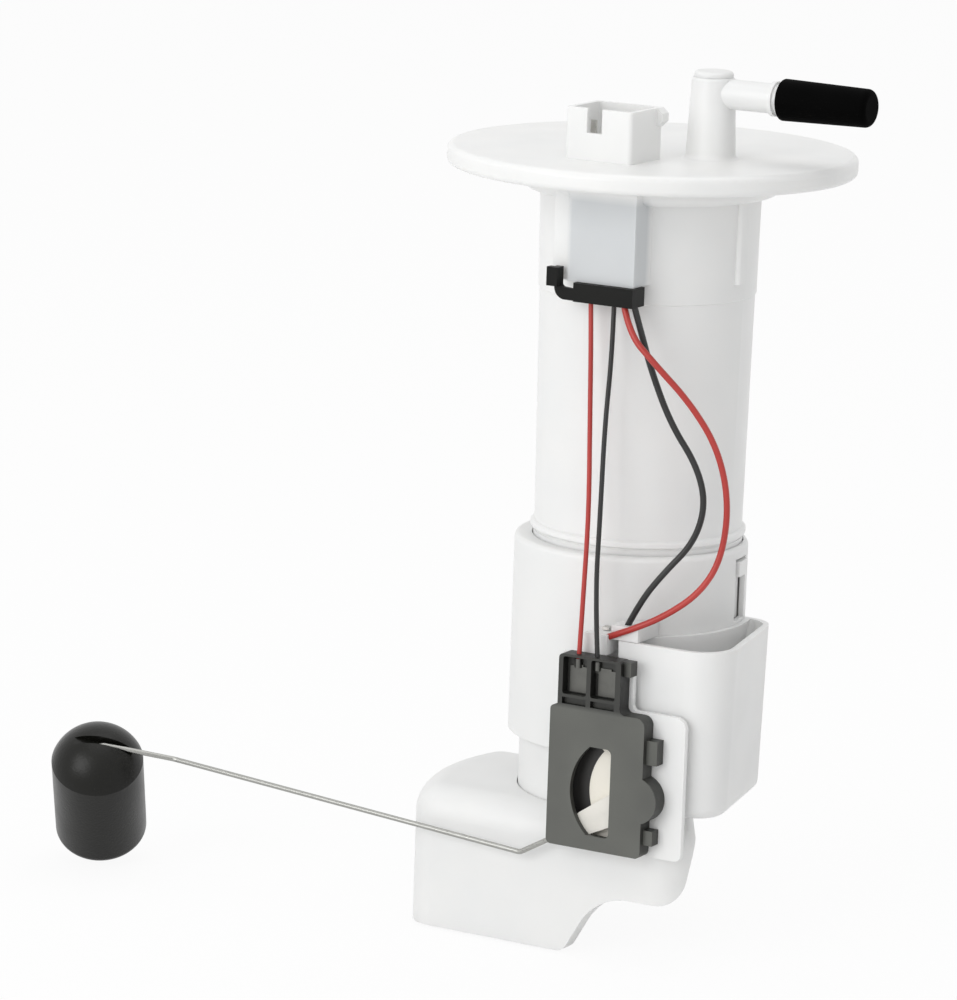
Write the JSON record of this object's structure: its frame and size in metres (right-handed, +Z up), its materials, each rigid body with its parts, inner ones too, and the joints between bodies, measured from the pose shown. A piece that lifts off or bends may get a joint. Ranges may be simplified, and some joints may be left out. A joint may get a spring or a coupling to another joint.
{
  "type": "fuel pump module",
  "caption": "In-tank fuel pump module: round flange, tapered filter tube, pump housing with open side pot, stepped reservoir foot, level sender with wire arm and float.",
  "frame": {"origin": "centre of the flange's underside, the face that seats on the tank", "axes": "+Z up along the tube's axis, +X the way the capped outlet nipple points, -Y the way the level sender faces"},
  "size_m": [0.2283, 0.1136, 0.2351],
  "materials": {
    "natural_plastic": "natural acetal, satin, slightly translucent",
    "cap_rubber": "matt moulded rubber",
    "black_plastic": "satin nylon",
    "grey_plastic": "satin glass-filled nylon",
    "carrier_plastic": "satin acetal",
    "card_ceramic": "matt ceramic",
    "track_ink": "printed resistive ink",
    "spring_bronze": "rolled strip",
    "float_foam": "smooth moulded nitrile foam",
    "arm_steel": "bright drawn wire",
    "red_insulation": "smooth insulation",
    "black_insulation": "smooth insulation",
    "tinned_metal": "tinned",
    "can_steel": "plated",
    "lamination_steel": "stamped",
    "ferrite": "sintered",
    "copper": "enamelled",
    "carbon": "pressed carbon",
    "impeller_plastic": "moulded phenolic",
    "seal_rubber": "nitrile",
    "filter_paper": "pleated paper",
    "strainer_mesh": "fine nylon mesh"
  },
  "bodies": {
    "module": {"brushes": "carbon", "chamber_base": "natural_plastic", "chamber_seal": "seal_rubber", "check_valve_retainer": "natural_plastic", "check_valve_spring": "can_steel", "connector_blades": "tinned_metal", "elbow_plug": "natural_plastic", "filter_base_cap": "natural_plastic", "filter_core": "natural_plastic", "filter_element": "filter_paper", "filter_top_cap": "natural_plastic", "flange_cover": "natural_plastic", "harness_plug": "black_plastic", "housing_seal": "seal_rubber", "lower_housing": "natural_plastic", "magnets": "ferrite", "outlet_seal": "seal_rubber", "pump_black_wire": "black_insulation", "pump_can": "can_steel", "pump_casing": "natural_plastic", "pump_end_cover": "natural_plastic", "pump_inlet_cover": "natural_plastic", "pump_isolator": "seal_rubber", "pump_red_wire": "red_insulation", "pump_terminals": "tinned_metal", "regulator_can": "can_steel", "regulator_seat": "spring_bronze", "regulator_spring": "can_steel", "reservoir": "natural_plastic", "reservoir_floor": "natural_plastic", "resistor_card": "card_ceramic", "resistor_track": "track_ink", "sender_black_wire": "black_insulation", "sender_housing": "grey_plastic", "sender_red_wire": "red_insulation", "sender_terminals": "tinned_metal", "side_pot": "natural_plastic", "strainer": "strainer_mesh", "strainer_tube": "natural_plastic", "wire_grommet": "natural_plastic"},
    "float_lever": {"float_arm": "arm_steel", "float": "float_foam", "wiper_carrier": "carrier_plastic", "wiper_contact": "spring_bronze"},
    "pump_rotor": {"rotor_shaft": "can_steel", "armature": "lamination_steel", "armature_windings": "copper", "commutator": "copper", "impeller": "impeller_plastic"},
    "cap": {"outlet_cap": "cap_rubber"},
    "check_poppet": {"check_valve": "natural_plastic"},
    "relief_poppet": {"regulator_valve": "can_steel"}
  },
  "joints": [
    {"name": "float_swing", "type": "hinge", "parent": "module", "child": "float_lever", "pos_m": [0.0253, -0.0404, -0.16], "axis": [0, 1, 0], "range_deg": [0, 55]},
    {"name": "pump_spin", "type": "hinge", "parent": "module", "child": "pump_rotor", "pos_m": [0, 0, -0.13], "axis": [0, 0, 1], "continuous": true},
    {"name": "cap_pull", "type": "slide", "parent": "module", "child": "cap", "axis": [1, 0, 0], "range_m": [0, 0.025]},
    {"name": "check_valve_lift", "type": "slide", "parent": "module", "child": "check_poppet", "axis": [0, 0, 1], "range_m": [0, 0.002], "stiffness_N_per_m": 100, "springref_m": -0.002, "deforming": ["check_valve_spring"]},
    {"name": "relief_valve_drop", "type": "slide", "parent": "module", "child": "relief_poppet", "axis": [0, 0, -1], "range_m": [0, 0.0015], "stiffness_N_per_m": 400, "springref_m": -0.003, "deforming": ["regulator_spring"]}
  ]
}
